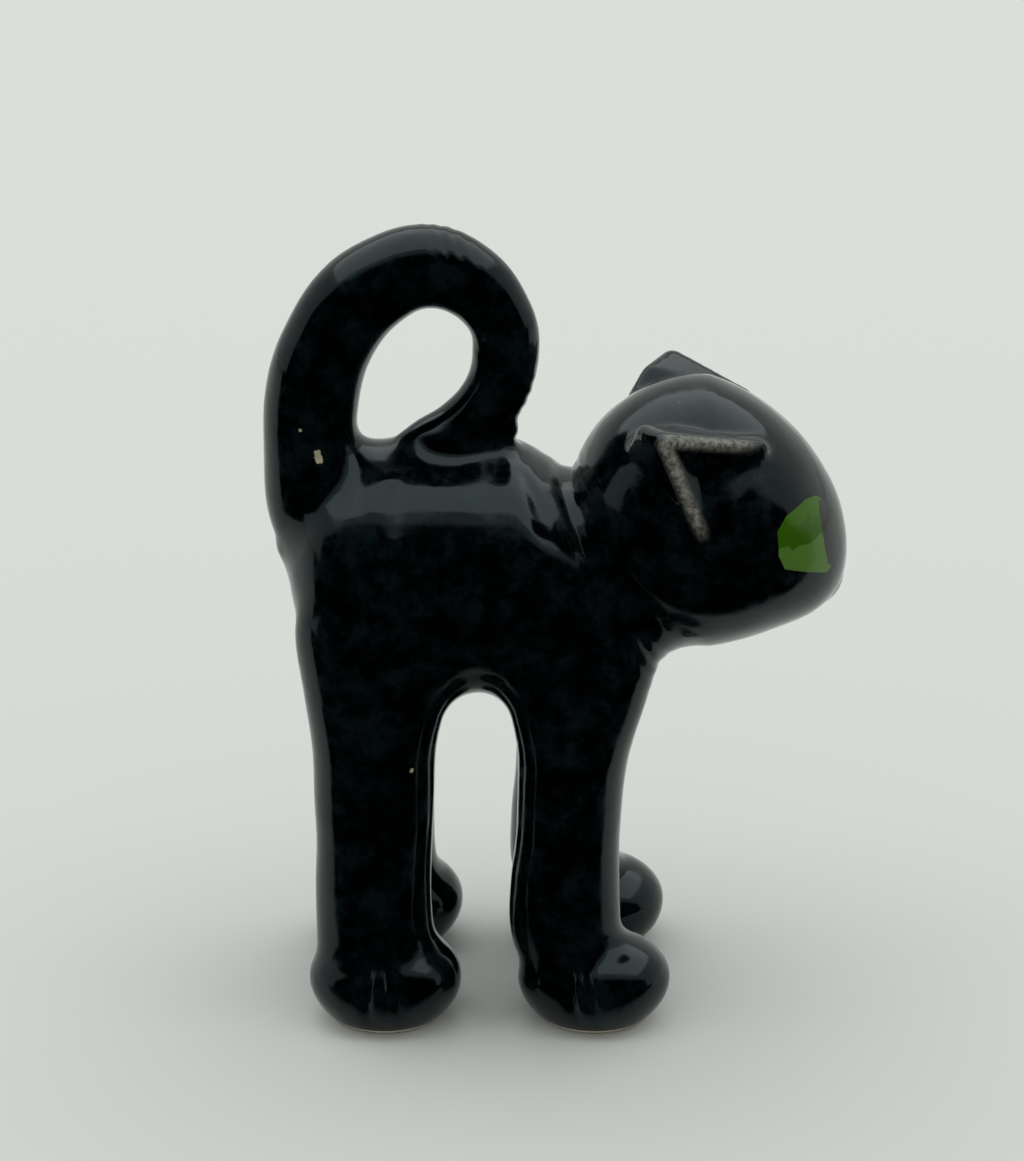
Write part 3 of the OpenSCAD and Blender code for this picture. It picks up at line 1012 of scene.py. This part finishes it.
# %% Floor and sky
scene = bpy.context.scene
scene.view_settings.view_transform = "Standard"
sky = bpy.data.worlds.new("pale_studio")
scene.world = sky
sky.use_nodes = True
sky.node_tree.nodes["Background"].inputs["Color"].default_value = linear("#cfd2ce")
sky.node_tree.nodes["Background"].inputs["Strength"].default_value = 1.0


def stage_piece(bm, name, material):
    """Something that stands round the cat and isn't part of it."""
    piece = bpy.data.objects.new(name, to_mesh(bm, name))
    scene.collection.objects.link(piece)
    piece.data.materials.append(material)
    return piece


FLOOR_HALF = 3.0
floor = bmesh.new()
bmesh.ops.create_grid(floor, x_segments=1, y_segments=1, size=FLOOR_HALF)
paper, tree, _ = new_material("pale_paper")
surface = add(tree, "BsdfPrincipled", {"Base Color": linear("#c3c5c2"), "Roughness": 1.0,
                                       "Specular IOR Level": 0.0})
add(tree, "OutputMaterial", {"Surface": surface.outputs[0]})
stage_piece(floor, "floor", paper)
print("floor laid and sky lit")

# %% [markdown]
# The dark room starts at the paws' outer edge, so that the table's reflection in the legs is dark too.

# %% Dark room behind the camera
PAPER_EDGE, ROOM_WALL, ROOM_TOP, ROOM_HALF_W = -0.0145, -0.9, 1.5, 4.0
ABOVE_FLOOR = 0.5 * MM
FADE_Y = (-14.5, -20.0)
FADE_Z = (1500.0, 1000.0)
room = bmesh.new()
profile = [room.verts.new((-ROOM_HALF_W, y, z)) for y, z in
           ((PAPER_EDGE, ABOVE_FLOOR), (ROOM_WALL, ABOVE_FLOOR), (ROOM_WALL, ROOM_TOP))]
strips = [room.edges.new(pair) for pair in zip(profile, profile[1:])]
pulled = bmesh.ops.extrude_edge_only(room, edges=strips)["geom"]
bmesh.ops.translate(room, vec=(2 * ROOM_HALF_W, 0, 0),
                    verts=[v for v in pulled if isinstance(v, bmesh.types.BMVert)])
cloth, tree, in_mm = new_material("black_cloth")
spot = add(tree, "SeparateXYZ", {0: in_mm})
near_edge = add(tree, "MapRange", {0: spot.outputs["Y"], 1: FADE_Y[0], 2: FADE_Y[1]}, **SMOOTH)
top_edge = add(tree, "MapRange", {0: spot.outputs["Z"], 1: FADE_Z[0], 2: FADE_Z[1]}, **SMOOTH)
solid = add(tree, "Math", {0: near_edge.outputs[0], 1: top_edge.outputs[0]},
            operation="MULTIPLY").outputs[0]
black = add(tree, "BsdfDiffuse", {"Color": (0, 0, 0, 1)}).outputs[0]
veil = add(tree, "MixShader", {0: solid, 1: add(tree, "BsdfTransparent").outputs[0], 2: black})
add(tree, "OutputMaterial", {"Surface": veil.outputs[0]})
dark = stage_piece(room, "dark_room", cloth)
dark.visible_camera = False
dark.visible_diffuse = False
dark.visible_shadow = False
print("the dark room's wall stands", -ROOM_WALL, "m from the cat")

# %% [markdown]
# One wide soft box hangs above the cat and a little beyond it, turned straight down. Its brightness is
# set by how bright its face looks in a mirror, because that is what a gloss glaze shows.

# %% Lights


def soft_light(name, place, target, size, radiance):
    """A rectangular area light of size m, aimed at target; radiance is how bright its face looks."""
    data = bpy.data.lights.new(name, "AREA")
    data.shape = "RECTANGLE"
    data.size, data.size_y = size
    data.energy = radiance * math.pi * size[0] * size[1]
    light = bpy.data.objects.new(name, data)
    light.location = place
    light.rotation_euler = (Vector(target) - Vector(place)).to_track_quat("-Z", "Y").to_euler()
    scene.collection.objects.link(light)
    return light


box = soft_light("overhead_soft_box", (0, 0.35, 0.9), (0, 0.35, 0), (2.4, 1.5), 1.2)
print("soft box hangs", round(box.location.z, 2), "m above the table")

# %% [markdown]
# The camera stands on the cat's right, 22 degrees above level, with a long lens from not far away.

# %% Camera
AIM = Vector((-4.1, 0, 41.77)) * MM
DISTANCE = 400 * MM
ELEVATION = math.radians(22)
camera = bpy.data.objects.new("camera", bpy.data.cameras.new("camera"))
camera.data.lens = 130.6
camera.data.sensor_width = 36
camera.location = AIM + DISTANCE * Vector((0, -math.cos(ELEVATION), math.sin(ELEVATION)))
camera.rotation_euler = (AIM - camera.location).to_track_quat("-Z", "Y").to_euler()
camera.data.clip_start = 0.01
scene.collection.objects.link(camera)
scene.camera = camera
print("camera at", [round(c, 3) for c in camera.location])
